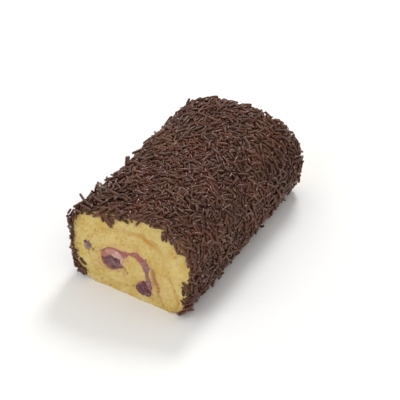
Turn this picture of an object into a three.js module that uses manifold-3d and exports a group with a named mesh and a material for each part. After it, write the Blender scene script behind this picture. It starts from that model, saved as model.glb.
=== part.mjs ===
// A piece of swiss roll, cut at both ends: one sponge sheet rolled up with a
// cream filling and cherries, under a thin coat set with chocolate sprinkles.
// Millimetres. X across the roll, Y along it with one cut end at -Y, Z up.
// The origin lies under the middle of the whole, on the flat base.
import * as THREE from 'three';
import { mergeVertices } from 'three/addons/utils/BufferGeometryUtils.js';
import Module from 'manifold-3d';

const wasm = await Module();
wasm.setup();
const { Manifold, Mesh } = wasm;

// Sponge: the log that all layers are wound into
const spongeWidth = 77;
const spongeHeight = 48.8;
const spongeLength = 133;
const widestLevel = 29;
const domeExponent = 2.05;
const flankExponent = 4;
const baseSunk = 1.5;

// Spiral: one centre, and the filling's radius there at each eighth of a turn
// as a share of the way from that centre to the skin; the second is at the left
const spiralCentre = new THREE.Vector2(1, 18);
const knotShares = [
  0.37, 0.328, 0.318, 0.403, 0.385, 0.266, 0.37, 0.665,
  0.68, 0.745, 0.75, 0.765, 0.725, 0.665, 0.996, 1.25,
];
const knotTurn = 45;
const firstKnot = -knotTurn;
const lastKnot = firstKnot + knotTurn * (knotShares.length - 1);
const spiralStart = -32;
const tipClearance = 3;
const spiralStep = 10;
const skinSteps = 48;
const lengthSteps = 3;

// Filling: half its thickness, which thins outwards, its taper at the start,
// and where it swells: round each cherry, and on the way down to the second
const creamInner = 1.5;
const creamOuter = 0.5;
const creamThinning = 300;
const creamTaper = 10;
const swells = [
  { angle: -2, half: 6.5, spread: 36 },
  { angle: 158, half: 1.4, spread: 22 },
  { angle: 236, half: 4, spread: 20 },
  { angle: 357, half: 1.7, spread: 6 },
];
const nodeGap = 0.4;

// Cherries on the cut ends: the spiral angle, the half sizes along the layer,
// across it and into the roll, and the turn
const frontCherries = [
  { angle: -10, along: 4, across: 7.3, deep: 6.5, turn: 25 },
  { angle: 238, along: 5.4, across: 4.4, deep: 6, turn: 47 },
  { angle: 357, along: 3.9, across: 2.4, deep: 5, turn: 45 },
];
const backCherries = [
  { angle: -4, along: 4.4, across: 6.2, deep: 6, turn: 8 },
  { angle: 234, along: 4.4, across: 3.8, deep: 5.5, turn: 20 },
  { angle: 357, along: 3.8, across: 2.3, deep: 5, turn: 20 },
];
const cherryAround = 12;
const cherryRings = 8;

// Coat: a thin skin over the top and flanks that stops short of the floor
const coatThickness = 1.1;
const coatFoot = 2.6;
const coatSteps = 40;

// Sprinkles: short rods laid flat, part sunk in the coat
const sprinkleCount = 240;
const sprinkleLength = 6.4;
const sprinkleSpread = 1.6;
const sprinkleRadius = 0.78;
const sprinkleSides = 5;
const sprinkleRise = 0.36;
const sprinkleMargin = 3.6;
const sprinkleSeed = 20817;
const drawFactor = 16807;
const drawRange = 2 ** 31 - 1;
const spreadAcross = 0.7548777;
const spreadAlong = 0.5698403;

// Settling: how the soft log departs from a straight one
const cutSkew = Math.tan(THREE.MathUtils.degToRad(3.6));
const cutLean = 7;
const leanFrom = 27;
const leanAcross = 35;
const leanFade = 4;
const nearShoulder = 0.14;
const shoulderFade = 2;
const farRise = 0.016;
const farLopside = -3;
const lopsidePower = 1.5;
const crownWave = 0.4;
const crownWaves = 1.5;
const flankWave = 0.5;
const flankWaves = 1.1;

// Points nearer than the weld are one, an outline's points lie further apart
// and turn at each, an angle is searched for in a fixed number of halvings over
// a stretch of the spiral, and the last step there isn't shorter than the least
const weld = 1e-4;
const leastEdge = 0.05;
const leastBend = 1e-4;
const halvings = 16;
const exitSearch = 90;
const leastTurn = 1;

// Colours and roughness of each stuff
const looks = {
  sponge: { color: 0xd2b767, roughness: 0.9 },
  cream: { color: 0xb98577, roughness: 0.5 },
  cherry: { color: 0x5e2c34, roughness: 0.3 },
  chocolate: { color: 0x4f382f, roughness: 0.45 },
};

const radians = THREE.MathUtils.degToRad;

// The sponge's skin at an angle: a superellipse, squarer below its widest
// level and cut flat at the base
function skin(phi) {
  const c = Math.cos(phi);
  const s = Math.sin(phi);
  const exponent = s >= 0 ? domeExponent : flankExponent;
  const rise = s >= 0 ? spongeHeight - widestLevel : widestLevel + baseSunk;
  const sum = Math.abs((2 * c) / spongeWidth) ** exponent + Math.abs(s / rise) ** exponent;
  const reach = sum ** (-1 / exponent);
  return new THREE.Vector2(reach * c, Math.max(0, widestLevel + reach * s));
}

// A point on the ray of a spiral angle, which turns clockwise from the left
function onRay(angle, share) {
  return spiralCentre.clone().lerp(skin(radians(180 - angle)), share);
}

const radiusCurve = new THREE.SplineCurve(
  knotShares.map((share, i) => new THREE.Vector2(firstKnot + knotTurn * i, share)),
);

function fillingShare(angle) {
  return radiusCurve.getPoint((angle - firstKnot) / (lastKnot - firstKnot)).y;
}

function fillingHalf(angle) {
  const thinning = THREE.MathUtils.clamp((angle - spiralStart) / creamThinning, 0, 1);
  let half = THREE.MathUtils.lerp(creamInner, creamOuter, thinning);
  for (const swell of swells) {
    half += swell.half * Math.exp(-(((angle - swell.angle) / swell.spread) ** 2));
  }
  return half * Math.sqrt(Math.min(1, Math.max(0, angle - spiralStart) / creamTaper));
}

// How far one side of the filling lies along its ray, with some clearance:
// side -1 faces the spiral's centre and side 1 faces outwards
function sideShare(angle, side, clearance) {
  const ray = onRay(angle, 1).distanceTo(spiralCentre);
  return fillingShare(angle) + (side * (fillingHalf(angle) + clearance)) / ray;
}

// The last angle between two limits at which a test still holds, by halving
function lastAngle(from, to, holds) {
  let [low, high] = [from, to];
  for (let i = 0; i < halvings; i += 1) {
    const middle = (low + high) / 2;
    if (holds(middle)) low = middle;
    else high = middle;
  }
  return low;
}

// Where a side of the filling comes out through the skin
function exitAngle(side, clearance) {
  const inside = (angle) => sideShare(angle, side, clearance) < 1;
  return lastAngle(lastKnot - exitSearch, lastKnot, inside);
}

function fillingSide(side, clearance) {
  const from = clearance > 0 ? spiralStart - tipClearance : spiralStart;
  const angles = [from];
  const exit = exitAngle(side, clearance);
  for (let angle = spiralStart + spiralStep / 2; angle < exit - leastTurn; angle += spiralStep) {
    angles.push(angle);
  }
  return [...angles, exit].map((angle) => onRay(angle, sideShare(angle, side, clearance)));
}

function steps(from, to, count) {
  return Array.from({ length: count + 1 }, (_, i) => THREE.MathUtils.lerp(from, to, i / count));
}

function fillingOutline() {
  return [...fillingSide(-1, 0), ...fillingSide(1, 0).reverse()];
}

// The rolled sheet fills the skin but for the filling: out along the filling,
// once round the skin from the sheet's tail, and in again along the filling
function sheetOutline() {
  const tail = exitAngle(1, nodeGap) + 360;
  const seam = exitAngle(-1, nodeGap);
  const round = steps(tail, seam, skinSteps).slice(1, -1);
  return [
    ...fillingSide(1, nodeGap),
    ...round.map((angle) => onRay(angle, 1)),
    ...fillingSide(-1, nodeGap).reverse(),
  ];
}

// A point that repeats its neighbour, or lies on the line between its
// neighbours as on the flat base, would leave faces without area
function neededPoints(points) {
  const apart = points.filter((p, i) => p.distanceTo(points.at(i - 1)) > leastEdge);
  return apart.filter((p, i) => {
    const before = p.clone().sub(apart.at(i - 1));
    const after = apart[(i + 1) % apart.length].clone().sub(p);
    return Math.abs(before.cross(after)) > leastBend * before.length() * after.length();
  });
}

// An outline in X and Z carried along the whole roll in equal steps
function alongRoll(points) {
  const shape = new THREE.Shape(neededPoints(points));
  const geometry = new THREE.ExtrudeGeometry(shape, {
    depth: spongeLength,
    steps: lengthSteps,
    bevelEnabled: false,
  });
  return geometry.rotateX(Math.PI / 2).translate(0, spongeLength / 2, 0);
}

function toSolid(geometry) {
  geometry.deleteAttribute('normal');
  geometry.deleteAttribute('uv');
  const merged = mergeVertices(geometry, weld);
  return new Manifold(
    new Mesh({
      numProp: 3,
      vertProperties: new Float32Array(merged.attributes.position.array),
      triVerts: new Uint32Array(merged.index.array),
    }),
  );
}

// An ellipsoid standing half out of a cut end, to be trimmed flush with it
function cherrySolid({ angle, along, across, deep, turn }, end, grow) {
  const centre = onRay(angle, fillingShare(angle));
  const outward = centre.clone().sub(spiralCentre).angle();
  const geometry = new THREE.SphereGeometry(1, cherryAround, cherryRings)
    .scale(across + grow, deep + grow, along + grow)
    .rotateY(-(outward + radians(turn)))
    .translate(centre.x, (end * spongeLength) / 2, centre.y);
  return toSolid(geometry);
}

const logBlock = toSolid(
  new THREE.BoxGeometry(2 * spongeWidth, spongeLength, 4 * spongeHeight),
);

// The coat's section: points on the skin and their outward directions
function coatRun() {
  const foot = lastAngle(-90, 0, (angle) => skin(radians(angle)).y < coatFoot);
  return steps(foot, 180 - foot, coatSteps).map((angle) => {
    const tangent = skin(radians(angle + 1)).sub(skin(radians(angle - 1))).normalize();
    return { at: skin(radians(angle)), outward: new THREE.Vector2(tangent.y, -tangent.x) };
  });
}

function coatPoint({ at, outward }, height) {
  return at.clone().addScaledVector(outward, height);
}

// A repeated multiplication: the same draw at every run
function seededRandom(seed) {
  let state = seed;
  return () => {
    state = (state * drawFactor) % drawRange;
    return state / drawRange;
  };
}

// Rods spread evenly over the coat by two irrational steps, each at its own angle
function sprinkleSolids(run) {
  const random = seededRandom(sprinkleSeed);
  const top = nodeGap + coatThickness;
  const arc = new THREE.SplineCurve(run.map((place) => coatPoint(place, top)));
  const border = sprinkleMargin / arc.getLength();
  const reach = spongeLength / 2 - sprinkleMargin;
  return Array.from({ length: sprinkleCount }, (_, i) => {
    const u = THREE.MathUtils.lerp(border, 1 - border, (i * spreadAcross) % 1);
    const y = THREE.MathUtils.lerp(-reach, reach, (i * spreadAlong) % 1);
    const tangent = arc.getTangentAt(u);
    const across = new THREE.Vector3(tangent.x, 0, tangent.y);
    const outward = new THREE.Vector3(tangent.y, 0, -tangent.x);
    const heading = random() * Math.PI;
    const axis = across.clone().multiplyScalar(Math.cos(heading));
    axis.y = Math.sin(heading);
    const side = new THREE.Vector3().crossVectors(axis, outward);
    const place = arc.getPointAt(u);
    const centre = new THREE.Vector3(place.x, y, place.y).addScaledVector(outward, sprinkleRise);
    const length = sprinkleLength + (random() - 0.5) * sprinkleSpread;
    const rod = new THREE.CylinderGeometry(sprinkleRadius, sprinkleRadius, length, sprinkleSides);
    const frame = new THREE.Matrix4().makeBasis(outward, axis, side.negate()).setPosition(centre);
    return toSolid(rod.applyMatrix4(frame));
  });
}

// The largest body, without loose scraps and with sealed hollows filled
function mainBody(solid) {
  return solid.decompose().reduce((a, b) => (b.volume() > a.volume() ? b : a));
}

// The soft log settles: the near cut stands askew and leans back at the top,
// most on the right; the left shoulder is full at the near end; towards the far
// end the log rises and its crown shifts to the left; crown and flanks waver
function settle(p) {
  const t = p.y / spongeLength + 0.5;
  const level = p.z / spongeHeight;
  const aside = Math.min(0, (2 * p.x) / spongeWidth);
  const over = Math.max(0, p.z - widestLevel);
  const corner = (2 * aside * (over / (spongeHeight - widestLevel))) ** 2;
  const full = nearShoulder * corner * Math.max(0, 1 - t) ** shoulderFade;
  const upper = THREE.MathUtils.smoothstep(p.z, leanFrom, spongeHeight);
  const lean = cutLean * (1 + p.x / leanAcross) * upper * Math.max(0, 1 - t) ** leanFade;
  const flank = flankWave * Math.sin(2 * Math.PI * flankWaves * t) * level;
  const crown = (crownWave / spongeHeight) * Math.sin(2 * Math.PI * crownWaves * t) * level;
  return new THREE.Vector3(
    p.x * (1 + full) + farLopside * t * level ** lopsidePower + flank,
    p.y - p.x * cutSkew * (1 - t) + lean,
    (p.z + over * full) * (1 + farRise * t + crown),
  );
}

function toMesh(solid, name, look) {
  const { vertProperties, triVerts } = solid.getMesh();
  const geometry = new THREE.BufferGeometry();
  geometry.setAttribute('position', new THREE.BufferAttribute(vertProperties.slice(), 3));
  geometry.setIndex(new THREE.BufferAttribute(triVerts.slice(), 1));
  const { position } = geometry.attributes;
  const point = new THREE.Vector3();
  for (let i = 0; i < position.count; i += 1) {
    const settled = settle(point.fromBufferAttribute(position, i));
    position.setXYZ(i, settled.x, settled.y, settled.z);
  }
  geometry.computeVertexNormals();
  const material = new THREE.MeshStandardMaterial({ ...look, metalness: 0 });
  const mesh = new THREE.Mesh(geometry, material);
  mesh.name = name;
  return mesh;
}

const cherries = [
  ...frontCherries.map((cherry, i) => ({ cherry, end: -1, name: `cherry_front_${i + 1}` })),
  ...backCherries.map((cherry, i) => ({ cherry, end: 1, name: `cherry_back_${i + 1}` })),
];
const pockets = Manifold.union(cherries.map(({ cherry, end }) => cherrySolid(cherry, end, nodeGap)));
const sponge = mainBody(toSolid(alongRoll(sheetOutline())).subtract(pockets));
const filling = mainBody(toSolid(alongRoll(fillingOutline())).subtract(pockets));

const run = coatRun();
const coatSection = [
  ...run.map((place) => coatPoint(place, nodeGap)),
  ...run.map((place) => coatPoint(place, nodeGap + coatThickness)).reverse(),
];
const coat = mainBody(
  Manifold.union([toSolid(alongRoll(coatSection)), ...sprinkleSolids(run)]),
);

const roll = new THREE.Group();
roll.name = 'swiss_roll_cake';
roll.add(toMesh(sponge, 'sponge', looks.sponge));
roll.add(toMesh(filling, 'filling', looks.cream));
for (const { cherry, end, name } of cherries) {
  roll.add(toMesh(cherrySolid(cherry, end, 0).intersect(logBlock), name, looks.cherry));
}
roll.add(toMesh(coat, 'sprinkle_coat', looks.chocolate));

// Bring the origin under the middle of the whole, on the base
const box = new THREE.Box3().setFromObject(roll, true);
const middle = box.getCenter(new THREE.Vector3());
for (const mesh of roll.children) mesh.geometry.translate(-middle.x, -middle.y, -box.min.z);

export default roll;
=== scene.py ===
import bmesh
import bpy
import numpy as np
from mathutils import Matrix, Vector


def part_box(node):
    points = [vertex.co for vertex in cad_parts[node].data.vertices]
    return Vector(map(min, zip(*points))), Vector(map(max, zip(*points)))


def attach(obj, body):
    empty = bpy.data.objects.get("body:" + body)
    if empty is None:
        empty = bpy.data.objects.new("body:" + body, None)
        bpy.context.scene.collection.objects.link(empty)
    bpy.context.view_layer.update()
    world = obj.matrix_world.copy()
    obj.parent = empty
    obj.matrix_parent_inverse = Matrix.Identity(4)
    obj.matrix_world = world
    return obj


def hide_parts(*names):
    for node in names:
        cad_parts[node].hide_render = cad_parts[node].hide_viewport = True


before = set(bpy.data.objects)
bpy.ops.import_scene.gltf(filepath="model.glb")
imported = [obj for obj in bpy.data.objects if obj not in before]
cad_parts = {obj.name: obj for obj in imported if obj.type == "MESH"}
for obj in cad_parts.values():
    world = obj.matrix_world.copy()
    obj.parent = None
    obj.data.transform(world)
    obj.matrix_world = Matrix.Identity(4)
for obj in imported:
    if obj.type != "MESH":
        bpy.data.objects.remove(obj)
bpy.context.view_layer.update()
mm = 0.001  # sizes below are in millimetres, as in the part's source, unless a note says otherwise

# The log that the sponge sheet is wound into, and how it settled
logShape = {
    "width": 77.0,
    "height": 48.8,
    "length": 133.0,
    "widestLevel": 29.0,
    "domeExponent": 2.05,
    "flankExponent": 4.0,
    "baseSunk": 1.5,
    "cutSkew": np.tan(np.radians(3.6)),
    "cutLean": 7.0,
    "leanFrom": 27.0,
    "leanAcross": 35.0,
    "leanFade": 4,
    "nearShoulder": 0.14,
    "shoulderFade": 2,
    "farRise": 0.016,
    "farLopside": -3.0,
    "lopsidePower": 1.5,
    "crownWave": 0.4,
    "crownWaves": 1.5,
    "flankWave": 0.5,
    "flankWaves": 1.1,
}

# The spiral of filling: at each eighth of a turn its share of the way from one centre to the skin,
# half its thickness, which thins outwards and tapers at the start, and where it swells
spiral = {
    "centre": np.array([1.0, 18.0]),
    "knotShares": np.array([0.37, 0.328, 0.318, 0.403, 0.385, 0.266, 0.37, 0.665,
                            0.68, 0.745, 0.75, 0.765, 0.725, 0.665, 0.996, 1.25]),
    "knotTurn": 45.0,
    "firstKnot": -45.0,
    "start": -32.0,
    "creamInner": 1.5,
    "creamOuter": 0.5,
    "creamThinning": 300.0,
    "creamTaper": 10.0,
    "creamUneven": [(16.0, 0.9, 95), (5.0, 0.6, 95)],  # span in degrees, share, seed
    "swells": [(-2, 6.5, 36), (158, 1.4, 22), (236, 4.0, 20), (357, 1.7, 6)],  # angle, half, spread
    "exitSearch": (540.0, 630.0, 9001),  # angles between which it meets the skin, and steps
}


# A repeatable number from 0 to 1 for each whole-numbered cell: its digits are mixed and masked
def cellDraw(cell, seed):
    primes = np.array([73856093, 19349663, 83492791][:cell.shape[-1]], dtype=np.int64)
    mixed = (cell.astype(np.int64) * primes).sum(-1) + seed * 668265263
    mixed = (mixed ^ (mixed >> 13)) * 1274126177
    mixed = mixed ^ (mixed >> 16)
    return (mixed & 0xFFFFF) / 0xFFFFF


# Value noise: draws at the corners of cells of one size, blended smoothly between them, -0.5 to 0.5
def softNoise(p, size, seed):
    q = p / size
    cell = np.floor(q)
    f = q - cell
    f = f * f * (3 - 2 * f)
    total = np.zeros(p.shape[:-1])
    for corner in np.ndindex(*[2] * p.shape[-1]):
        weight = np.prod(np.where(corner, f, 1 - f), axis=-1)
        total += weight * cellDraw(cell + np.array(corner), seed)
    return total - 0.5


# Noise of several sizes added up: each row gives a size, a height and a seed
def layeredNoise(p, rows):
    return sum(high * softNoise(p, size, seed) for size, high, seed in rows)


# Mottling: noise of one size about a mean, kept within limits
def mottled(p, mean, vary, size, seed, least, most):
    return np.clip(mean + vary * softNoise(p, size, seed), least, most)


# The skin at an angle: a superellipse, squarer below its widest level, cut flat at the base
def skinAt(phi):
    s = logShape
    c, up = np.cos(phi), np.sin(phi)
    exponent = np.where(up >= 0, s["domeExponent"], s["flankExponent"])
    rise = np.where(up >= 0, s["height"] - s["widestLevel"], s["widestLevel"] + s["baseSunk"])
    total = np.abs(2 * c / s["width"]) ** exponent + np.abs(up / rise) ** exponent
    reach = total ** (-1 / exponent)
    return np.stack([reach * c, np.maximum(0, s["widestLevel"] + reach * up)], axis=-1)


# A point part of the way from the spiral's centre to the skin, at an angle clockwise from the left
def onRay(angle, share):
    ends = skinAt(np.radians(180 - angle))
    return spiral["centre"] + np.asarray(share)[..., None] * (ends - spiral["centre"])


# A cubic through the knot shares, its slope at each the mean of its two neighbours' steps
def fillingShare(angle):
    shares = spiral["knotShares"]
    last = len(shares) - 1.0001  # just short of the last knot
    place = np.clip((angle - spiral["firstKnot"]) / spiral["knotTurn"], 0, last)
    i = place.astype(int)
    f = place - i
    p0, p1 = shares[np.maximum(i - 1, 0)], shares[i]
    p2, p3 = shares[i + 1], shares[np.minimum(i + 2, len(shares) - 1)]
    m1, m2 = (p2 - p0) / 2, (p3 - p1) / 2
    return (2 * p1 - 2 * p2 + m1 + m2) * f**3 + (3 * p2 - 3 * p1 - 2 * m1 - m2) * f**2 + m1 * f + p1


# Half the filling's thickness: it thins outwards, unevenly, swells in bell curves and tapers at its start
def fillingHalf(angle):
    thinning = np.clip((angle - spiral["start"]) / spiral["creamThinning"], 0, 1)
    half = spiral["creamInner"] + (spiral["creamOuter"] - spiral["creamInner"]) * thinning
    half = half * (1 + layeredNoise(angle[..., None], spiral["creamUneven"]))
    for at, swell, spread in spiral["swells"]:
        half = half + swell * np.exp(-(((angle - at) / spread) ** 2))
    return half * np.sqrt(np.clip((angle - spiral["start"]) / spiral["creamTaper"], 0, 1))


# The share of the ray at one side of the filling: side -1 faces the centre, side 1 faces outwards
def sideShare(angle, side, clearance):
    ray = np.linalg.norm(onRay(angle, np.ones_like(angle)) - spiral["centre"], axis=-1)
    return fillingShare(angle) + side * (fillingHalf(angle) + clearance) / ray


# The point there, held within the skin
def sidePoint(angle, side, clearance):
    return onRay(angle, np.minimum(1, sideShare(angle, side, clearance)))


# The angle at which a side of the filling comes out through the skin
def exitAngle(side, clearance):
    angles = np.linspace(*spiral["exitSearch"])
    return angles[np.argmax(sideShare(angles, side, clearance) >= 1)]


# The settled log: its near cut stands askew and leans back at the top, most on the right; the left
# shoulder is full at the near end; towards the far end the log rises and its crown shifts to the
# left; crown and flanks waver
def settle(points):
    s = logShape
    x, y, z = np.moveaxis(points, -1, 0)
    t = y / s["length"] + 0.5
    level = np.maximum(z, 0) / s["height"]
    over = np.maximum(0, z - s["widestLevel"])
    corner = (2 * np.minimum(0, 2 * x / s["width"]) * over / (s["height"] - s["widestLevel"])) ** 2
    full = s["nearShoulder"] * corner * np.clip(1 - t, 0, 1) ** s["shoulderFade"]
    rise = np.clip((z - s["leanFrom"]) / (s["height"] - s["leanFrom"]), 0, 1)
    upper = rise * rise * (3 - 2 * rise)
    lean = s["cutLean"] * (1 + x / s["leanAcross"]) * upper * np.clip(1 - t, 0, 1) ** s["leanFade"]
    flank = s["flankWave"] * np.sin(2 * np.pi * s["flankWaves"] * t) * level
    crown = s["crownWave"] / s["height"] * np.sin(2 * np.pi * s["crownWaves"] * t) * level
    return np.stack([
        x * (1 + full) + s["farLopside"] * t * level ** s["lopsidePower"] + flank,
        y - x * s["cutSkew"] * (1 - t) + lean,
        (z + over * full) * (1 + s["farRise"] * t + crown),
    ], axis=-1)


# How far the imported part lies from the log's own middle, read off the sponge node
def findShift():
    around, rows = 721, 61  # fine enough to meet the widest places
    ring = skinAt(np.linspace(0, 2 * np.pi, around))
    along = np.linspace(-0.5, 0.5, rows) * logShape["length"]
    grid = np.empty((rows, around, 3))
    grid[..., 0], grid[..., 1], grid[..., 2] = ring[:, 0], along[:, None], ring[:, 1]
    bare = settle(grid).reshape(-1, 3)
    low, high = (np.array(corner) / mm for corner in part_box("sponge"))
    shift = (low + high - bare.min(0) - bare.max(0)) / 2
    shift[1] = high[1] - bare[:, 1].max()
    shift[2] = low[2] - bare[:, 2].min()
    return shift


frameShift = findShift()
print("log shift in mm", np.round(frameShift, 2))


# Points of the straight log, settled and moved into the part's frame, in metres
def placed(points):
    return (settle(points) + frameShift) * mm


# Pores: one bubble of its own radius in each cell; 1 at a bubble's middle, 0 at its rim and beyond
def poreDepth(p, size, smallest, largest, seed):
    cell = np.floor(p / size)
    deepest = np.zeros(p.shape[:-1])
    for offset in np.ndindex(3, 3):
        near = cell + np.array(offset) - 1
        spot = np.stack([cellDraw(near, seed), cellDraw(near, seed + 1)], axis=-1)
        radius = smallest + (largest - smallest) * cellDraw(near, seed + 2) ** 2
        away = np.linalg.norm(p - (near + spot) * size, axis=-1)
        deepest = np.maximum(deepest, 1 - (away / radius) ** 2)
    return np.clip(deepest, 0, 1)


# How far out a point of the section lies: 0 at the middle of the widest level, 1 at the skin
def skinShare(x, z):
    above = z - logShape["widestLevel"]
    edge = skinAt(np.arctan2(above, x)) - np.array([0, logShape["widestLevel"]])
    return np.hypot(x, above) / np.linalg.norm(edge, axis=-1)


ruffles = {
    "across": [(4.5, 1.3, 91), (1.6, 0.45, 92)],  # size, shift, seed
    "up": [(4.5, 1.3, 93), (1.6, 0.45, 94)],
    "skinFade": 0.2,
}


# Layers ruffled where they meet: every point of the section shifts by the same coarse and fine noise,
# which fades out towards the skin
def ruffle(points):
    flat = points[..., [0, 2]]
    fade = np.clip((1 - skinShare(flat[..., 0], flat[..., 1])) / ruffles["skinFade"], 0, 1)
    moved = points.copy()
    moved[..., 0] += layeredNoise(flat, ruffles["across"]) * fade
    moved[..., 2] = np.maximum(0, moved[..., 2] + layeredNoise(flat, ruffles["up"]) * fade)
    return moved


# Quads of a grid of rows by columns, where columns may close on themselves
def gridQuads(rows, columns, closed):
    first = np.arange(rows - 1)[:, None] * columns
    second = first + columns
    c = np.arange(columns if closed else columns - 1)[None, :]
    following = (c + 1) % columns
    corners = [first + c, first + following, second + following, second + c]
    return np.stack(corners, axis=-1).reshape(-1, 4)


# A mesh object from points in metres and faces, smooth, with its normals turned outwards
def addPiece(name, points, faces, material, attributes, node, recalculate=True):
    mesh = bpy.data.meshes.new(name)
    mesh.from_pydata(points.reshape(-1, 3), [], faces)
    for key, values in attributes.items():
        layer = mesh.attributes.new(key, "FLOAT", "POINT")
        layer.data.foreach_set("value", np.ascontiguousarray(values, dtype=np.float32).ravel())
    if recalculate:
        shell = bmesh.new()
        shell.from_mesh(mesh)
        bmesh.ops.recalc_face_normals(shell, faces=shell.faces)
        shell.to_mesh(mesh)
        shell.free()
    mesh.polygons.foreach_set("use_smooth", np.ones(len(mesh.polygons), dtype=bool))
    mesh.materials.append(material)
    piece = bpy.data.objects.new(name, mesh)
    bpy.context.scene.collection.objects.link(piece)
    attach(piece, "root")
    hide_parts(node)
    mesh.calc_loop_triangles()
    print("piece", name, len(mesh.vertices), "points", len(mesh.loop_triangles), "triangles")


# An sRGB hex colour as linear red, green, blue, alpha
def linear(hexColour):
    parts = [int(hexColour[i:i + 2], 16) / 255 for i in (1, 3, 5)]
    return [p / 12.92 if p <= 0.04045 else ((p + 0.055) / 1.055) ** 2.4 for p in parts] + [1.0]


# Links a node's inputs: each key is an input, each value a (node, output) pair
def linkInputs(tree, node, links):
    for key, (source, output) in links.items():
        tree.links.new(source.outputs[output], node.inputs[key])


# Adds a shader node: settings are its own properties or input values; a mix is always one of colours
def addNode(tree, kind, settings=None, links=None):
    node = tree.nodes.new("ShaderNode" + kind)
    if kind == "Mix":
        node.data_type = "RGBA"
    for key, value in (settings or {}).items():
        if isinstance(key, str) and hasattr(node, key):
            setattr(node, key, value)
        else:
            node.inputs[key].default_value = value
    linkInputs(tree, node, links or {})
    return node


# A new material, its nodes, its shader with constants on its own sockets, and a link to Object coordinates
def newMaterial(name, constants):
    material = bpy.data.materials.new(name)
    material.use_nodes = True
    tree = material.node_tree
    shader = tree.nodes["Principled BSDF"]
    for socket, value in constants.items():
        shader.inputs[socket].default_value = value
    place = {"Vector": (addNode(tree, "TexCoord"), "Object")}
    return material, tree, shader, place


# Noise scale for a pattern of a size in millimetres on Object coordinates in metres
def perSize(size):
    return 1000.0 / size


# The crumb's colour: warm yellow with paler and deeper patches and pale grains, darkened by the pore
# attribute with painted shade in pores, in the crack and in a gap beside the filling, and with darker spots;
# golden where the sheet's baked skin is cut. Gives the colour and the grain.
def crumbColour(tree, place):
    patch = addNode(tree, "TexNoise", {"Scale": perSize(9), "Detail": 3.0, "Roughness": 0.55}, place)
    patchRamp = addNode(tree, "MapRange", {"From Min": 0.36, "From Max": 0.64}, {"Value": (patch, "Fac")})
    body = addNode(tree, "Mix", {6: linear("#c19e4b"), 7: linear("#d1b97a")}, {0: (patchRamp, "Result")})
    grain = addNode(tree, "TexNoise", {"Scale": perSize(1.1), "Detail": 5.0, "Roughness": 0.7}, place)
    grainRamp = addNode(tree, "MapRange", {"From Min": 0.35, "From Max": 0.62, "To Max": 0.55},
                        {"Value": (grain, "Fac")})
    crumb = addNode(tree, "Mix", {7: linear("#dbc887")}, {0: (grainRamp, "Result"), 6: (body, 2)})
    # Painted shade: the pore attribute darkens pores, the crack and a gap beside the filling, and also
    # carries darker spots of the cut
    pore = addNode(tree, "Attribute", {"attribute_name": "pore"})
    paintedShadeShare = addNode(tree, "Math", {"operation": "MULTIPLY", 1: 0.15}, {0: (pore, "Fac")})
    hollow = addNode(tree, "Mix", {7: linear("#9a7436")}, {0: (paintedShadeShare, 0), 6: (crumb, 2)})
    browned = addNode(tree, "Attribute", {"attribute_name": "browned"})
    colour = addNode(tree, "Mix", {7: linear("#bf8126")}, {0: (browned, "Fac"), 6: (hollow, 2)})
    return colour, grain


# Sponge cake, baked as a sheet: matt open crumb, pink where juice soaked in
def makeSpongeCrumb():
    material, tree, shader, place = newMaterial("baked sponge crumb", {
        "Roughness": 0.88,
        "IOR": 1.4,
        "Specular IOR Level": 0.25,
        "Subsurface Weight": 0.12,
        "Subsurface Radius": (1.0, 0.7, 0.3),
        "Subsurface Scale": 0.0015,
    })
    crumb, grain = crumbColour(tree, place)
    stain = addNode(tree, "Attribute", {"attribute_name": "stain"})
    soaked = addNode(tree, "Mix", {7: linear("#b57468")}, {0: (stain, "Fac"), 6: (crumb, 2)})
    bump = addNode(tree, "Bump", {"Strength": 0.6, "Distance": 0.0005}, {"Height": (grain, "Fac")})
    linkInputs(tree, shader, {"Base Color": (soaked, 2), "Normal": (bump, "Normal")})
    return material


# Whipped cream smeared by the knife: pale and soft over the first cherry, red and pink with juice
# round it, purple beside the second, covered in dragged crumbs where only a thin line shows further out
def makeCherryCream():
    material, tree, shader, place = newMaterial("whipped cream with cherry juice", {
        "IOR": 1.45,
        "Subsurface Weight": 0.15,
        "Subsurface Radius": (1.0, 0.6, 0.45),
        "Subsurface Scale": 0.001,
    })
    streak = addNode(tree, "TexNoise", {"Scale": perSize(4.5), "Detail": 3.0, "Distortion": 0.6}, place)
    curd = addNode(tree, "TexNoise", {"Scale": perSize(1.6), "Detail": 4.0, "Distortion": 0.8}, place)
    crumb = crumbColour(tree, place)[0]
    plain = addNode(tree, "Mix", {0: 0.3, 7: linear("#c9ab68")}, {6: (crumb, 2)})
    juice, pale, purple = (addNode(tree, "Attribute", {"attribute_name": key})
                           for key in ("juice", "pale", "purple"))
    wet = addNode(tree, "MapRange", {"From Min": 0.36, "From Max": 0.62}, {"Value": (streak, "Fac")})
    red = addNode(tree, "Mix", {6: linear("#ab665a"), 7: linear("#924e48")}, {0: (wet, "Result")})
    dark = addNode(tree, "Mix", {7: linear("#855c5e")}, {0: (purple, "Fac"), 6: (red, 2)})
    flecks = addNode(tree, "MapRange", {"From Min": 0.52, "From Max": 0.72, "To Max": 0.4},
                     {"Value": (curd, "Fac")})
    paler = addNode(tree, "Math", {"operation": "ADD", "use_clamp": True},
                    {0: (pale, "Fac"), 1: (flecks, "Result")})
    white = addNode(tree, "Mix", {7: linear("#cba99a")}, {0: (paler, 0), 6: (dark, 2)})
    colour = addNode(tree, "Mix", {}, {0: (juice, "Fac"), 6: (plain, 2), 7: (white, 2)})
    damp = addNode(tree, "MapRange", {"To Min": 0.85, "To Max": 0.5}, {"Value": (juice, "Fac")})
    bump = addNode(tree, "Bump", {"Strength": 0.6, "Distance": 0.0006}, {"Height": (curd, "Fac")})
    linkInputs(tree, shader, {"Base Color": (colour, 2), "Roughness": (damp, "Result"),
                              "Normal": (bump, "Normal")})
    return material
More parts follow.
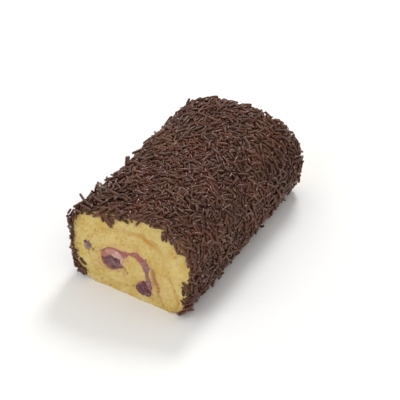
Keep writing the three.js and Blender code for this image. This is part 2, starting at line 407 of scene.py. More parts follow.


# Stewed dark cherry: wet and glossy, purple black with redder veins
def makeCherryFlesh():
    material, tree, shader, place = newMaterial("stewed dark cherry", {
        "Roughness": 0.3,
        "IOR": 1.38,
        "Subsurface Weight": 0.15,
        "Subsurface Radius": (1.0, 0.2, 0.25),
        "Subsurface Scale": 0.001,
    })
    vein = addNode(tree, "TexNoise", {"Scale": perSize(3.2), "Detail": 4.0, "Distortion": 1.2}, place)
    ramp = addNode(tree, "MapRange", {"From Min": 0.38, "From Max": 0.66}, {"Value": (vein, "Fac")})
    bare = addNode(tree, "Mix", {6: linear("#46202a"), 7: linear("#74404a")}, {0: (ramp, "Result")})
    smeared = addNode(tree, "Attribute", {"attribute_name": "smeared"})
    flesh = addNode(tree, "Mix", {7: linear("#9f8c7c")}, {0: (smeared, "Fac"), 6: (bare, 2)})
    bump = addNode(tree, "Bump", {"Strength": 0.4, "Distance": 0.0005}, {"Height": (vein, "Fac")})
    linkInputs(tree, shader, {"Base Color": (flesh, 2), "Normal": (bump, "Normal")})
    return material


# Milk chocolate vermicelli: brown rods, each lighter or darker, some polished and reddish so that they
# glint, some dull and greyer, with pale ends: partly paler broken ends, partly painted glints
def makeChocolateRods():
    constants = {"IOR": 1.47, "Specular IOR Level": 0.4}
    material, tree, shader, place = newMaterial("chocolate vermicelli", constants)
    tone, brokenEndsAndGlints, dull = (addNode(tree, "Attribute", {"attribute_name": key})
                          for key in ("tone", "brokenEndsAndGlints", "dull"))
    dust = addNode(tree, "TexNoise", {"Scale": perSize(1.1), "Detail": 2.0}, place)
    dark = addNode(tree, "Mix", {6: linear("#4c2b1f"), 7: linear("#472d1d")}, {0: (dull, "Fac")})
    light = addNode(tree, "Mix", {6: linear("#6b3d2d"), 7: linear("#64432a")}, {0: (dull, "Fac")})
    body = addNode(tree, "Mix", {}, {0: (tone, "Fac"), 6: (dark, 2), 7: (light, 2)})
    # Pale ends: partly the paler broken ends, partly painted glints
    ends = addNode(tree, "Mix", {7: linear("#b79c90")}, {0: (brokenEndsAndGlints, "Fac"), 6: (body, 2)})
    rough = addNode(tree, "MapRange", {"To Min": 0.16, "To Max": 0.55}, {"Value": (dull, "Fac")})
    bump = addNode(tree, "Bump", {"Strength": 0.15, "Distance": 0.0002}, {"Height": (dust, "Fac")})
    linkInputs(tree, shader, {"Base Color": (ends, 2), "Roughness": (rough, "Result"),
                              "Normal": (bump, "Normal")})
    return material


# Cocoa cream spread thin to hold the rods: soft and dull, seen only between them; its brown is partly the
# cream's own and partly painted shade of the gaps between rods
def makeCocoaCreamGapShade():
    material, tree, shader, place = newMaterial("cocoa cream with painted gap shade", {"Roughness": 0.6, "IOR": 1.45})
    smear = addNode(tree, "TexNoise", {"Scale": perSize(3), "Detail": 3.0}, place)
    colour = addNode(tree, "Mix", {6: linear("#62402f"), 7: linear("#7c5a46")}, {0: (smear, "Fac")})
    linkInputs(tree, shader, {"Base Color": (colour, 2)})
    return material


spongeCrumb = makeSpongeCrumb()
cherryCream = makeCherryCream()
cherryFlesh = makeCherryFlesh()
chocolateRods = makeChocolateRods()
cocoaCreamGapShade = makeCocoaCreamGapShade()
print("materials made")


# A rolled strip as a solid: its section, a loop over near cut, outer face, far cut and inner face,
# is carried along the strip. Gives points (strip, loop, 3), the share across and the cut's side at each.
def stripLoop(inner, outer, across, lengthSteps):
    share = np.linspace(0, 1, across + 1)
    along = np.linspace(-0.5, 0.5, lengthSteps + 1)[1:-1]
    k = np.concatenate([share, np.ones(len(along)), share[::-1], np.zeros(len(along))])
    y = np.concatenate([np.full(across + 1, -0.5), along, np.full(across + 1, 0.5), along[::-1]])
    flat = inner[:, None, :] + k[None, :, None] * (outer - inner)[:, None, :]
    points = np.empty((len(inner), len(k), 3))
    points[..., 0], points[..., 2] = flat[..., 0], flat[..., 1]
    points[..., 1] = y * logShape["length"]
    return points, k, np.where(np.abs(y) == 0.5, np.sign(y), 0.0)


# Faces of a carried loop: its quads and one cap at each end
def loopFaces(rows, columns):
    first = np.arange(columns)
    caps = [first[::-1].tolist(), (first + (rows - 1) * columns).tolist()]
    return gridQuads(rows, columns, True).tolist() + caps


# Two edge curves, and values along them, sampled again at even steps of the line midway between them
def evenSteps(inner, outer, values, step):
    middle = (inner + outer) / 2
    length = np.concatenate([[0], np.cumsum(np.linalg.norm(np.diff(middle, axis=0), axis=1))])
    at = np.linspace(0, length[-1], int(length[-1] / step) + 1)
    pick = [np.stack([np.interp(at, length, c[:, i]) for i in (0, 1)], axis=-1) for c in (inner, outer)]
    return pick + [np.interp(at, length, v) for v in values]


# A stretch of the spiral: about 1 within a half span of an angle, falling off steeply beyond
def spanAt(turn, angle, half):
    return np.exp(-(((turn - angle) / half) ** 4))


# How much juice there is at a turn: 1, then falling over a fade to 0 at an angle
def juiceAt(turn, until, fade):
    return np.clip((until - turn) / fade, 0, 1)


sheet = {
    "clearance": 0.04,
    "step": 0.36,
    "across": 34,
    "lengthSteps": 10,
    "tipAngles": (103.0, 111.0),
    "fingerSteps": 600,
    "turnSteps": 4000,
    "tailThickness": 0.5,
    "farPattern": 300.0,  # how far off the far cut takes its pattern, so that the two cuts differ
    # pores: one in each cell of a size, smallest and largest radius, depth, seed
    "pores": [(2.4, 0.2, 1.0, 0.6, 11), (1.15, 0.12, 0.55, 0.28, 15)],
    "poreBend": [(1.3, 1.1, 24), (1.3, 1.1, 25)],  # across and up: size, shift, seed
    "poreShade": 1.4,
    "swells": [(8.0, 0.5, 21), (2.7, 0.34, 22), (1.2, 0.22, 23)],  # size, depth, seed
    "worn": (0.15, 0.6),  # depth and width of the groove where layers meet
    # where the baked line shows: spiral angle, half span, strength; and how faint it is elsewhere
    "brownSpans": [(468.0, 34.0, 1.0), (555.0, 30.0, 0.5)],
    "brownFaint": 0.12,
    "brownWidth": 1.15,
    "brownMottle": (0.9, 0.9, 4, 31, 0.1, 1),  # mean, variation, size, seed, least, most
    "juice": (252.0, 12.0),  # the angle that it reaches, and its fade
    "stainWidth": 1.5,
    "stainMottle": (0.55, 1.2, 4, 41, 0, 1),
    "stainShare": 0.8,
    "stainMost": 0.9,
    # patches of the near cut: middle x and z, spread in x and z, strength
    "soaks": [(-4.3, 14.6, 0.9, 2.4, 0.8), (18.0, 14.0, 4.5, 9.0, 0.25), (-18.0, 15.5, 6.0, 3.5, 0.25)],
    "soakLeast": 0.5,
    # darker spots: the two at x 15.6 and 16.0 are painted shade in the gap beside the filling; the others are
    # darker spots, among them trails from the cherries
    "shadeAndSpots": [(3.4, 8.2, 0.9, 0.8, 8.0), (24.0, 12.0, 0.7, 1.2, 1.0), (15.6, 22.0, 1.5, 5.5, 2.6),
               (16.0, 16.0, 2.4, 4.5, 1.6), (-3.7, 18.1, 0.8, 1.3, 6.5), (-2.3, 16.2, 0.7, 1.0, 5.5),
               (-24.7, 22.6, 0.9, 1.5, 7.5), (-8.0, 15.4, 3.0, 0.9, 1.8), (-22.0, 26.0, 4.5, 4.0, 0.9)],
    "scorches": [(26.6, 36.2, 0.8, 0.6, 0.9), (24.6, 37.3, 0.7, 0.5, 0.7), (-14.0, 5.0, 0.9, 0.8, 0.5)],
}

# A crack down the right of the section: x and z of its ends, and widths at two shares of its fall
crack = {
    "top": (14.2, 27.5),
    "foot": (22.6, 0.0),
    "bend": 1.25,
    "widths": (1.3, 0.4),
    "widthsAt": (0.1, 0.7),
    "widthNoise": (5, 82),  # size, seed
    "waver": (3, 1.2, 81),  # size, shift, seed
    "topFade": 12,
    "depth": 0.8,
    # how far the crack's colour is darkened: painted shade in its groove
    "shade": 3.6,
}


# Places of a pattern on the two cuts
def cutSpots(points, side):
    return points[..., [0, 2]] + np.where(side < 0, 0.0, sheet["farPattern"])[:, None]


# Patches on the near cut as a sum of bell curves
def patches(flat, side, spots):
    total = sum(much * np.exp(-(((flat[..., 0] - x) / wide) ** 2 + ((flat[..., 1] - z) / high) ** 2))
                for x, z, wide, high, much in spots)
    return total * (side < 0)


# The sheet's two faces from tip to tail. In the finger at the centre both lie on the filling's inner
# side; further out the sheet fills what lies between one turn of filling and the next, or the skin.
def sheetFaces():
    gap = sheet["clearance"]
    leftTip, rightTip = sheet["tipAngles"]
    f = np.linspace(0, 1, sheet["fingerSteps"])
    left = leftTip + f * (spiral["start"] - leftTip)
    right = rightTip + f * (spiral["start"] + 360 - rightTip)
    angle = np.linspace(spiral["start"], exitAngle(1, gap), sheet["turnSteps"])[1:]
    beyond = angle + 360
    covered = (beyond < exitAngle(-1, gap))[:, None]
    inner = np.concatenate([sidePoint(left, -1, gap), sidePoint(angle, 1, gap)])
    wrapped = np.where(covered, sidePoint(beyond, -1, gap), onRay(beyond, np.ones_like(beyond)))
    outer = np.concatenate([sidePoint(right, -1, gap), wrapped])
    turns = np.concatenate([left, angle]), np.concatenate([right, beyond])
    thick = np.linalg.norm(outer - inner, axis=1)
    keep = (thick > sheet["tailThickness"]) | (np.arange(len(thick)) < len(thick) // 2)
    return evenSteps(inner[keep], outer[keep], [turn[keep] for turn in turns], sheet["step"])


# Relief of a cut through crumb: swells of several sizes, and pores at places that noise bends
def crumbRelief(spot):
    bent = spot + np.stack([layeredNoise(spot, [row]) for row in sheet["poreBend"]], axis=-1)
    pore = sum(depth * poreDepth(bent, size, least, most, seed)
               for size, least, most, depth, seed in sheet["pores"])
    return layeredNoise(spot, sheet["swells"]), pore


# The golden line along the baked skin: a bell curve away from it, mottled, strong over a few spans
def bakedLine(turn, away, spot):
    shown = sum(much * spanAt(turn, at, half) for at, half, much in sheet["brownSpans"])
    strength = sheet["brownFaint"] + (1 - sheet["brownFaint"]) * shown
    return np.exp(-((away / sheet["brownWidth"]) ** 2)) * mottled(spot, *sheet["brownMottle"]) * strength


# How near the crack runs: a bell curve away from its line, which bends by a power of the fall and wavers
def crackNear(x, z):
    (topX, topZ), (footX, footZ) = crack["top"], crack["foot"]
    fallen = np.clip((topZ - z) / (topZ - footZ), 0, 1)
    line = topX + (footX - topX) * fallen ** crack["bend"]
    spot = np.stack([x, z], axis=-1)
    wide = np.interp(fallen, crack["widthsAt"], crack["widths"]) * (1 + softNoise(spot, *crack["widthNoise"]))
    away = np.abs(x - line + layeredNoise(spot, [crack["waver"]])) / wide
    return np.exp(-(away**2)) * np.clip(fallen * crack["topFade"], 0, 1)


# The sponge: its cuts are raised and pitted as crumb, with a bell-shaped groove where layers meet, and
# stained by juice that falls off exponentially away from the filling; pores, the crack and a gap beside
# the filling get painted shade
def makeSponge():
    inner, outer, innerTurn, outerTurn = sheetFaces()
    points, k, side = stripLoop(inner, outer, sheet["across"], sheet["lengthSteps"])
    flat = points[..., [0, 2]]
    spot = cutSpots(points, side)
    thick = np.linalg.norm(outer - inner, axis=1)[:, None]
    toOuter, toInner = (1 - k) * thick, k * thick
    swell, pore = crumbRelief(spot)
    cracked = crackNear(flat[..., 0], flat[..., 1])
    groove, wide = sheet["worn"]
    worn = groove * np.exp(-((np.minimum(toOuter, toInner) / wide) ** 2))
    points[..., 1] += side * (swell - pore - worn - crack["depth"] * cracked)
    soaked = [np.exp(-away / sheet["stainWidth"]) * juiceAt(turn, *sheet["juice"])[:, None]
              for away, turn in ((toInner, innerTurn), (toOuter, outerTurn))]
    soft = mottled(spot, *sheet["stainMottle"])
    stain = np.maximum(*soaked) * soft * sheet["stainShare"]
    stain = stain + patches(flat, side, sheet["soaks"]) * (sheet["soakLeast"] + soft)
    # Painted shade in pores, in the crack and in the gap beside the filling, with darker spots, carried by
    # the pore attribute
    hollow = sheet["poreShade"] * pore + crack["shade"] * cracked + patches(flat, side, sheet["shadeAndSpots"])
    browned = bakedLine(outerTurn[:, None], toOuter, spot) + patches(flat, side, sheet["scorches"])
    cut = np.abs(side)
    attributes = {
        "pore": hollow * cut,
        "browned": np.minimum(1, browned) * cut,
        "stain": np.minimum(sheet["stainMost"], stain) * cut,
    }
    faces = loopFaces(len(inner), len(k))
    addPiece("sponge_roll", placed(ruffle(points)), faces, spongeCrumb, attributes, "sponge")


makeSponge()

cream = {
    "step": 0.4,
    "across": 20,
    "lengthSteps": 10,
    "startGap": 0.6,
    "turnSteps": 4000,
    "thinnest": 0.3,
    "bulge": 0.3,
    "sunk": 0.15,
    "ripples": [(3.5, 0.6, 51), (1.5, 0.5, 52)],  # size, height, seed
    "juice": (250.0, 12.0),
    "paleSpan": (26.0, 21.0),  # spiral angle and half span of the pale cream over the first cherry
    "paleRim": 1.5,
    "paleFrom": 0.6,
    "paleWaver": [(3, 0.9, 53)],
    "paleMottle": (0.75, 1.1, 2.2, 54, 0.2, 1),
    "purpleSpan": (195.0, 48.0),  # where juice of the second cherry darkens it
}


# The filling from its taper to the skin; its cut faces bulge by a parabola across and ripple along
def makeFilling():
    angle = np.linspace(spiral["start"] + cream["startGap"], exitAngle(-1, 0), cream["turnSteps"])
    inner, outer, turn = evenSteps(sidePoint(angle, -1, 0), sidePoint(angle, 1, 0), [angle], cream["step"])
    wide = np.linalg.norm(outer - inner, axis=1)
    kept = wide > cream["thinnest"]
    inner, outer, turn, wide = inner[kept], outer[kept], turn[kept][:, None], wide[kept][:, None]
    points, k, side = stripLoop(inner, outer, cream["across"], cream["lengthSteps"])
    spot = cutSpots(points, side)
    juice = juiceAt(turn, *cream["juice"]) * np.ones(len(k))
    bulge = cream["bulge"] * (1 - (2 * k - 1) ** 2) * juice
    ripple = layeredNoise(spot, cream["ripples"])
    swell, pore = crumbRelief(spot)
    points[..., 1] += side * (juice * (bulge + ripple - cream["sunk"]) + (1 - juice) * (swell - pore))
    rim = cream["paleFrom"] * (1 + layeredNoise(spot, cream["paleWaver"]))
    pale = spanAt(turn, *cream["paleSpan"]) * np.clip((1 - k) * wide / cream["paleRim"] - rim, 0, 1)
    cut = np.abs(side)
    attributes = {
        "juice": juice,
        "pale": pale * mottled(spot, *cream["paleMottle"]),
        "purple": spanAt(turn, *cream["purpleSpan"]) * np.ones(len(k)),
        # painted shade in the pores of the dragged crumbs
        "pore": sheet["poreShade"] * pore * cut,
        "browned": bakedLine(turn, k * wide, spot) * cut,
    }
    faces = loopFaces(len(inner), len(k))
    addPiece("cherry_cream", placed(ruffle(points)), faces, cherryCream, attributes, "filling")


makeFilling()

# Cherries: the cut end, spiral angle, half sizes along and across the layer and into the roll, turn,
# how far the knife smeared cream over the flesh, and how much narrower the top is than the foot
cherryColumns = ("end", "angle", "along", "across", "deep", "turn", "smeared", "pinch")
cherries = {
    "cherry_front_1": (-1, -10.0, 4.0, 7.3, 6.5, 25, -0.1, 0.0),
    "cherry_front_2": (-1, 238.0, 5.4, 4.4, 6.0, 47, -0.15, 0.45),
    "cherry_front_3": (-1, 357.0, 3.9, 2.4, 5.0, 45, 0.6, 0.1),
    "cherry_back_1": (1, -4.0, 4.4, 6.2, 6.0, 8, -0.1, 0.1),
    "cherry_back_2": (1, 234.0, 4.4, 3.8, 5.5, 20, 0.0, 0.3),
    "cherry_back_3": (1, 357.0, 3.8, 2.3, 5.0, 20, 0.4, 0.1),
}
cherryForm = {
    "around": 64,
    "rings": 32,
    "proud": 0.14,
    "lump": 0.05,
    "lobes": [(3, 1.0, 1.0), (5, 0.7, 2.1)],  # how many round the rim, height, turn by the seed
    "ragged": 1.3,
    "raggedAcross": [(2.6, 1.0, 64), (1.2, 0.5, 65)],  # size, share, seed
    "raggedUp": [(2.6, 1.0, 66), (1.2, 0.5, 67)],
    "fibres": [(2.2, 0.5, 61), (1.0, 0.3, 62)],  # size, height, seed
    "smears": (1.3, 2.2, 63, 0, 0.85),  # variation, size, seed, least, most
    "patternStep": 90.0,  # how far apart the cherries take their patterns
}


# A cut cherry: an ellipsoid whose half beyond the cut is pressed nearly flat, with a lobed rim
def makeCherry(name, spec, seed):
    form = cherryForm
    polar = np.linspace(0, np.pi, form["rings"] + 1)[1:-1]
    turn = np.linspace(0, 2 * np.pi, form["around"], endpoint=False)
    p, a = np.meshgrid(polar, turn, indexing="ij")
    waves = sum(high * np.cos(count * a + shift * seed) for count, high, shift in form["lobes"])
    lobes = 1 + form["lump"] * waves
    ball = np.stack([np.sin(p) * np.cos(a) * lobes, np.sin(p) * np.sin(a) * lobes, np.cos(p)], axis=-1)
    poles = np.array([[0, 0, 1.0], [0, 0, -1.0]])
    unit = np.concatenate([ball.reshape(-1, 3), poles])
    centre = onRay(np.array(spec["angle"]), fillingShare(np.array(spec["angle"])))
    heading = np.arctan2(*(centre - spiral["centre"])[::-1]) + np.radians(spec["turn"])
    x = unit[:, 0] * spec["across"]
    z = unit[:, 1] * spec["along"]
    raised = x * np.sin(heading) + z * np.cos(heading)
    narrowed = 1 - spec["pinch"] * raised / max(spec["across"], spec["along"])
    flatX = centre[0] + (x * np.cos(heading) - z * np.sin(heading)) * narrowed
    flatZ = centre[1] + raised
    spot = np.stack([flatX, flatZ], axis=-1) + form["patternStep"] * seed
    ragged = form["ragged"] * np.sqrt(np.maximum(0, 1 - unit[:, 2] ** 2))
    flatX = flatX + ragged * layeredNoise(spot, form["raggedAcross"])
    flatZ = flatZ + ragged * layeredNoise(spot, form["raggedUp"])
    proud = unit[:, 2] * spec["deep"] * form["proud"] + layeredNoise(spot, form["fibres"])
    outwards = np.where(unit[:, 2] > 0, proud, 0)
    inwards = np.where(unit[:, 2] < 0, unit[:, 2] * spec["deep"], 0)
    y = spec["end"] * (logShape["length"] / 2 + outwards + inwards)
    points = np.stack([flatX, y, flatZ], axis=-1)
    rings, around = p.shape
    top, bottom = rings * around, rings * around + 1
    edge = np.arange(around)
    following = (edge + 1) % around
    last = (rings - 1) * around
    fans = [(top, f, e) for e, f in zip(edge.tolist(), following.tolist())]
    fans += [(bottom, last + e, last + f) for e, f in zip(edge.tolist(), following.tolist())]
    faces = gridQuads(rings, around, True).tolist() + fans
    attributes = {"smeared": mottled(spot, spec["smeared"], *form["smears"])}
    addPiece(name + "_flesh", placed(ruffle(points)), faces, cherryFlesh, attributes, name)


for number, (cherryName, cherryRow) in enumerate(cherries.items()):
    makeCherry(cherryName, dict(zip(cherryColumns, cherryRow)), number + 1.0)

film = {
    "under": 0.1,
    "over": 0.3,
    "foot": 2.4,
    "sweep": (-70.0, 250.0, 6001),  # angles in degrees that reach below both feet, and steps
    "around": 150,
    "lengthSteps": 80,
    "lumps": [(12.0, 1.2, 73), (6.0, 0.3, 74)],  # size, height, seed
    "ripple": [(2, 0.15, 72)],
    "hollow": 0.1,
}


# The run of the skin from the right foot over the top to the left foot: length, place and outward direction
def coatRun():
    run = skinAt(np.radians(np.linspace(*film["sweep"])))
    run = run[run[:, 1] > film["foot"]]
    length = np.concatenate([[0], np.cumsum(np.linalg.norm(np.diff(run, axis=0), axis=1))])
    tangent = np.gradient(run, axis=0)
    tangent /= np.linalg.norm(tangent, axis=1, keepdims=True)
    return length, run, np.stack([tangent[:, 1], -tangent[:, 0]], axis=-1)


coatLength, coatSkin, coatOut = coatRun()
girth = coatLength[-1]


# A point of the coat by its length round the skin, its place along the roll and its height over the skin
def coatPoint(u, y, height):
    inside = np.clip(u, 0, girth)
    at = np.stack([np.interp(inside, coatLength, coatSkin[:, i]) for i in (0, 1)], axis=-1)
    out = np.stack([np.interp(inside, coatLength, coatOut[:, i]) for i in (0, 1)], axis=-1)
    at = at + height[..., None] * out
    return np.stack([at[..., 0], y, at[..., 1]], axis=-1)


# How much higher the coat is heaped at a place: noise of several sizes, whose hollows are filled
def heaped(spot):
    return np.maximum(-film["hollow"], layeredNoise(spot, film["lumps"]))


# The film: a thin arch whose section runs out along its outer side and back along its inner side
def makeFilm():
    u = np.linspace(0, girth, film["around"])
    over = np.concatenate([np.full(len(u), film["over"]), np.full(len(u), film["under"])])
    y = np.linspace(-0.5, 0.5, film["lengthSteps"] + 1) * logShape["length"]
    uu, yy = np.meshgrid(np.concatenate([u, u[::-1]]), y)
    spot = np.stack([uu, yy], axis=-1)
    ripple = heaped(spot) + layeredNoise(spot, film["ripple"])
    height = over + np.where(over > film["under"], ripple, 0)
    faces = loopFaces(*uu.shape)
    points = placed(coatPoint(uu, yy, height))
    # The film's brown is partly painted shade for the gaps between the rods
    addPiece("cocoa_film_gap_shade", points, faces, cocoaCreamGapShade, {}, "sprinkle_coat")


makeFilm()

rods = {
    "seed": 817,
    "radius": (0.6, 0.84),
    "length": (3.4, 5.3, 7.8),  # shortest, commonest, longest
    "bow": 0.36,
    # layers from below: how many rods, how far they tilt, how far past the cut their middles may lie
    "layers": [(1900, 0.0, 0.8), (1700, 0.1, 0.8), (360, 0.5, -0.5)],
    "footInset": 0.3,
    "tries": 6,
    "peakWeight": 0.6,  # of the highest thing below, beside the mean, when a place is chosen
    "leastSpan": 0.5,
    "steepest": 0.25,
    "sunk": 0.55,
    "tiltRaise": 0.6,
    "flatTop": 0.7,
    "droop": (0.3, 1.4),  # amount and power
    "floorGap": 0.2,
    # map of heights: its cell, how far it runs past the cut, points along a rod
    "cell": 0.4,
    "mapMargin": 4.8,
    "mapPoints": 11,
    # looks: tone and dullness are shifted in patches of a size, by an amount, with a seed
    "toneSpread": (2, 2),
    "tonePatches": [(9.0, 1.0, 83)],
    "dullPatches": [(9.0, 0.8, 84)],
    # pale ends, partly paler broken ends and partly painted glints: share of ends, strength, and how much of
    # it the next ring takes
    "paleEnds": 0.3,
    "paleRange": (0.3, 1.0),
    "paleReach": 0.5,
    "plain": {
        "stations": np.array([-1.0, -0.86, 0.86, 1.0]),
        "girths": np.array([0.55, 1.0, 1.0, 0.55]),
        "sides": 5,
    },
    "full": {
        "stations": np.array([-1.0, -0.92, -0.72, 0.0, 0.72, 0.92, 1.0]),
        "girths": np.array([0.45, 0.84, 1.0, 1.0, 1.0, 0.84, 0.45]),
        "sides": 6,
    },
    # rods stuck to the cut ends: end, middle x and z, spread in x and z, how many, heading and its spread
    "strays": [
        (-1, -35.4, 6.0, 2.2, 2.8, 15, 90, 90),
        (-1, 37.6, 22.5, 1.0, 2.6, 6, 90, 90),
        (-1, -24.0, 44.9, 2.0, 0.6, 4, 20, 40),
        (-1, -14.2, 45.4, 1.2, 1.3, 7, 120, 35),
        (-1, -9.5, 47.8, 2.0, 0.5, 4, 170, 35),
        (-1, -37.6, 22.0, 0.6, 8.0, 5, 90, 90),
        (-1, 19.5, 44.6, 1.4, 0.7, 5, 130, 40),
        (-1, 25.0, 42.6, 1.6, 0.7, 5, 140, 40),
        (-1, 29.5, 40.4, 1.4, 0.7, 6, 140, 40),
        (-1, 37.5, 10.0, 0.6, 3.5, 5, 90, 90),
        (1, 35.0, 8.0, 1.6, 3.4, 10, 90, 90),
        (1, -8.0, 46.0, 5.0, 1.2, 7, 90, 60),
        (1, -35.0, 33.0, 1.0, 3.0, 6, 110, 50),
    ],
    "strayWithin": 0.99,
    "strayRest": 0.7,
    "strayPile": 0.9,
}


# Cells of the map of heights at places on the unrolled coat
def mapCells(u, y, shape):
    edge = logShape["length"] / 2 + rods["mapMargin"]
    i = np.clip(u / rods["cell"], 0, shape[0] - 1).astype(int)
    j = np.clip((y + edge) / rods["cell"], 0, shape[1] - 1).astype(int)
    return i, j


# Rods dropped one after another on a map of heights over the unrolled coat. Each takes the lowest of a few
# places, rests on the highest thing under either half, and raises the map where it lies.
def dropRods(random, heights, count, lift, overhang):
    reach = np.linspace(-1, 1, rods["mapPoints"])
    mid = len(reach) // 2
    flat = rods["flatTop"]
    laid = np.empty((count, 7))
    for n in range(count):
        radius = random.uniform(*rods["radius"])
        half = random.triangular(*rods["length"]) / 2
        u = random.uniform(rods["footInset"], girth - rods["footInset"], rods["tries"])
        y = random.uniform(-1, 1, rods["tries"]) * (logShape["length"] / 2 + overhang)
        heading = random.uniform(0, np.pi, rods["tries"])
        uu = u[:, None] + np.cos(heading)[:, None] * half * reach
        yy = y[:, None] + np.sin(heading)[:, None] * half * reach
        under = heights[mapCells(uu, yy, heights.shape)]
        best = np.argmin(under.mean(axis=1) + rods["peakWeight"] * under.max(axis=1))
        near, far = under[best][:mid + 1], under[best][mid:]
        spots = reach[:mid + 1][np.argmax(near)], reach[mid:][np.argmax(far)]
        tops = near.max(), far.max()
        steepest = rods["steepest"] * half
        slope = (tops[1] - tops[0]) / max(rods["leastSpan"], spots[1] - spots[0])
        slope = np.clip(slope, -steepest, steepest)
        middle = max(tops[0] - slope * spots[0], tops[1] - slope * spots[1]) + radius - rods["sunk"]
        tilt = random.uniform(-1, 1) * lift * half
        slope, middle = slope + tilt, middle + abs(tilt) * rods["tiltRaise"]
        laid[n] = u[best], y[best], heading[best], half, radius, middle, slope
        top = middle + slope * reach + flat * radius
        sideU, sideY = -np.sin(heading[best]) * radius, np.cos(heading[best]) * radius
        for offset in (-flat, 0, flat):
            cells = mapCells(uu[best] + sideU * offset, yy[best] + sideY * offset, heights.shape)
            np.maximum.at(heights, cells, top)
    return laid


# Three points of each laid rod in the part's frame: its ends and its middle, bowed sideways;
# beyond a cut end a rod hangs lower by a power of how far it reaches out
def laidKnots(laid, random):
    u, y, heading, half, radius, middle, slope = laid.T[:, :, None]
    t = np.array([-1.0, 0.0, 1.0])
    bow = random.normal(0, rods["bow"], (len(laid), 1)) * (1 - t**2)
    uu = u + np.cos(heading) * half * t - np.sin(heading) * bow
    yy = y + np.sin(heading) * half * t + np.cos(heading) * bow
    beyond = np.maximum(0, np.abs(yy) - logShape["length"] / 2)
    amount, power = rods["droop"]
    high = film["over"] + middle + slope * t - amount * beyond**power
    return settle(coatPoint(uu, yy, high)) + frameShift, radius[:, 0]


# The same three points for rods stuck flat to the cut ends in loose clusters, some over others, drawn
# back towards the middle of the widest level where they would pass the skin
def strayKnots(random):
    knots, radii = [], []
    t = np.array([-1.0, 0.0, 1.0])
    level = logShape["widestLevel"]
    for end, x, z, spreadX, spreadZ, count, lean, spreadLean in rods["strays"]:
        radius = random.uniform(*rods["radius"], count)
        half = random.triangular(*rods["length"], count)[:, None] / 2
        heading = np.radians(lean + spreadLean * random.uniform(-1, 1, count))[:, None]
        bow = random.normal(0, rods["bow"], (count, 1)) * (1 - t**2)
        xx = random.normal(x, spreadX, count)[:, None] + np.cos(heading) * half * t - np.sin(heading) * bow
        zz = random.normal(z, spreadZ, count)[:, None] + np.sin(heading) * half * t + np.cos(heading) * bow
        share = np.minimum(1, rods["strayWithin"] / skinShare(xx, zz))
        xx, zz = xx * share, level + (zz - level) * share
        proud = radius * rods["strayRest"] + random.uniform(0, rods["strayPile"], count)
        yy = np.broadcast_to(end * (logShape["length"] / 2 + proud[:, None]), xx.shape)
        knots.append(settle(np.stack([xx, yy, zz], axis=-1)) + frameShift)
        radii.append(radius)
    return np.concatenate(knots), np.concatenate(radii)


# Rod meshes: a parabola runs through each rod's three points, rings of a polygon stand along it,
# and a cap closes either end
def rodPoints(knots, radius, form):
    s = form["stations"][None, :, None]
    first, centre, last = knots[:, None, 0], knots[:, None, 1], knots[:, None, 2]
    line = centre + (last - first) / 2 * s + ((last + first) / 2 - centre) * s**2
    axis = (last - first) / 2 + ((last + first) - 2 * centre) * s
    axis /= np.linalg.norm(axis, axis=-1, keepdims=True)
    askew = np.array([0.31, 0.17, 0.93])  # a direction that no rod's axis follows
    side = np.cross(axis, askew)
    side /= np.linalg.norm(side, axis=-1, keepdims=True)
    other = np.cross(axis, side)
    turn = np.linspace(0, 2 * np.pi, form["sides"], endpoint=False)
    ring = side[:, :, None] * np.cos(turn)[:, None] + other[:, :, None] * np.sin(turn)[:, None]
    wide = (radius[:, None] * form["girths"])[:, :, None, None]
    points = line[:, :, None] + ring * wide
    lowest = points[..., 2].min(axis=(1, 2))
    points[..., 2] += np.maximum(0, rods["floorGap"] - lowest)[:, None, None]
    return points * mm


# Rods as one piece: each has its own tone and dullness, shifted by noise, and may have pale ends, partly
# broken ends and partly painted glints
def addRods(name, knots, radius, form, random):
    points = rodPoints(knots, radius, form)
    shape = points.shape[:3]
    count, stations, sides = shape
    first = np.arange(count)[:, None, None] * stations * sides
    faces = (gridQuads(stations, sides, True)[None] + first).reshape(-1, 4).tolist()
    cap = np.arange(sides)[None, :]
    faces += (cap[:, ::-1] + first[:, 0]).tolist()
    faces += (cap + (stations - 1) * sides + first[:, 0]).tolist()
    spot = knots[:, 1]
    tone = np.clip(random.beta(*rods["toneSpread"], count) + layeredNoise(spot, rods["tonePatches"]), 0, 1)
    dull = np.clip(random.uniform(size=count) + layeredNoise(spot, rods["dullPatches"]), 0, 1)
    brokenEndsAndGlints = random.uniform(size=(count, 2)) < rods["paleEnds"]
    pale = brokenEndsAndGlints * random.uniform(*rods["paleRange"], (count, 2))
    ends = np.zeros((count, stations))
    ends[:, 0], ends[:, -1] = pale[:, 0], pale[:, 1]
    if stations > len(rods["plain"]["stations"]):
        ends[:, 1], ends[:, -2] = rods["paleReach"] * pale[:, 0], rods["paleReach"] * pale[:, 1]
    attributes = {
        "tone": np.broadcast_to(tone[:, None, None], shape),
        "dull": np.broadcast_to(dull[:, None, None], shape),
        "brokenEndsAndGlints": np.broadcast_to(ends[:, :, None], shape),
    }
    addPiece(name, points, faces, chocolateRods, attributes, "sprinkle_coat", False)


# All rods: two layers and a few loose ones dropped in turn on one map of heights, then the strays
def makeRods():
    random = np.random.default_rng(rods["seed"])
    reach = logShape["length"] + 2 * rods["mapMargin"]
    rows = np.arange(0, girth, rods["cell"])
    columns = np.arange(-reach / 2, reach / 2, rods["cell"])
    heights = heaped(np.stack(np.meshgrid(rows, columns, indexing="ij"), axis=-1))
    laid = [laidKnots(dropRods(random, heights, *layer), random) for layer in rods["layers"]]
    under, over, loose = laid
    strays = strayKnots(random)
    print("rods dropped, mean height of the coat in mm", round(float(heights.mean()), 2))
    top = [np.concatenate(pair) for pair in zip(loose, strays)]
    addRods("sprinkles_under", *under, rods["plain"], random)
    addRods("sprinkles_over", *over, rods["full"], random)
    addRods("sprinkles_loose", *top, rods["full"], random)


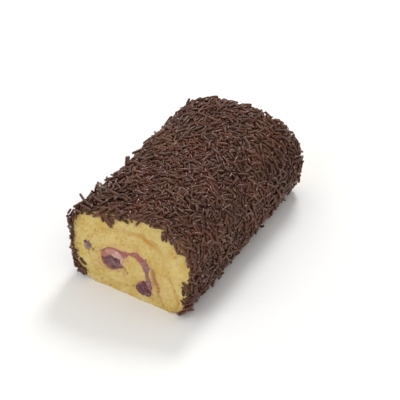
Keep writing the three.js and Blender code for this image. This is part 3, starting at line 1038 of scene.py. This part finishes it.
makeRods()

stage = {
    "floorSize": 4.0,  # metres
    "floorColours": ("#f6f5f3", "#f9f8f6"),
    "fleckSize": 40,
    "worldColour": "#ffffff",
    "worldStrength": 0.72,
}


# The floor: pale matt paper with the faintest mottling
def makeFloor():
    material, tree, shader, place = newMaterial("pale studio paper", {"Roughness": 0.9})
    fleck = addNode(tree, "TexNoise", {"Scale": perSize(stage["fleckSize"])}, place)
    first, second = (linear(shade) for shade in stage["floorColours"])
    colour = addNode(tree, "Mix", {6: first, 7: second}, {0: (fleck, "Fac")})
    linkInputs(tree, shader, {"Base Color": (colour, 2)})
    half = stage["floorSize"] / 2
    corners = [(-half, -half, 0), (half, -half, 0), (half, half, 0), (-half, half, 0)]
    mesh = bpy.data.meshes.new("floor")
    mesh.from_pydata(corners, [], [(0, 1, 2, 3)])
    mesh.materials.append(material)
    floor = bpy.data.objects.new("floor", mesh)
    bpy.context.scene.collection.objects.link(floor)


makeFloor()

world = bpy.data.worlds.new("studio")
world.use_nodes = True
background = world.node_tree.nodes["Background"]
background.inputs["Color"].default_value = linear(stage["worldColour"])
background.inputs["Strength"].default_value = stage["worldStrength"]
bpy.context.scene.world = world

# Large soft lamps: place in metres, size in metres, power in watts; all face one point inside the roll
lampAim = (0, 0, 0.03)
lamps = {
    "key": ((-0.16, 0.78, 0.84), 0.34, 6.2),
    "fill": ((-0.45, -1.0, 0.7), 1.0, 4.4),
}


# A disk lamp turned to the point that all face
def addLamp(name, place, size, power):
    light = bpy.data.lights.new(name, "AREA")
    light.shape = "DISK"
    light.size = size
    light.energy = power
    lamp = bpy.data.objects.new(name, light)
    lamp.location = place
    lamp.rotation_euler = (Vector(lampAim) - Vector(place)).to_track_quat("-Z", "Y").to_euler()
    bpy.context.scene.collection.objects.link(lamp)


for lampName, lampSpec in lamps.items():
    addLamp(lampName, *lampSpec)

# The camera: angles in degrees, the point it looks at in the part's frame
view = {
    "azimuth": 29.18,
    "elevation": 37.3,
    "distance": 981.0,
    "target": (7.78, 1.41, 26.0),
    "lens": 153.0,
    "sensor": 36.0,
    "clip": (0.05, 20.0),  # metres
}


# A camera at a distance from its target, along the direction that the two angles give
def addCamera():
    a, e = np.radians(view["azimuth"]), np.radians(view["elevation"])
    back = Vector((np.sin(a) * np.cos(e), -np.cos(a) * np.cos(e), np.sin(e)))
    data = bpy.data.cameras.new("camera")
    data.lens = view["lens"]
    data.sensor_width = view["sensor"]
    data.clip_start, data.clip_end = view["clip"]
    camera = bpy.data.objects.new("camera", data)
    camera.location = (Vector(view["target"]) + back * view["distance"]) * mm
    camera.rotation_euler = back.to_track_quat("Z", "Y").to_euler()
    bpy.context.scene.collection.objects.link(camera)
    bpy.context.scene.camera = camera


addCamera()
bpy.context.scene.view_settings.view_transform = "Standard"
print("stage set")
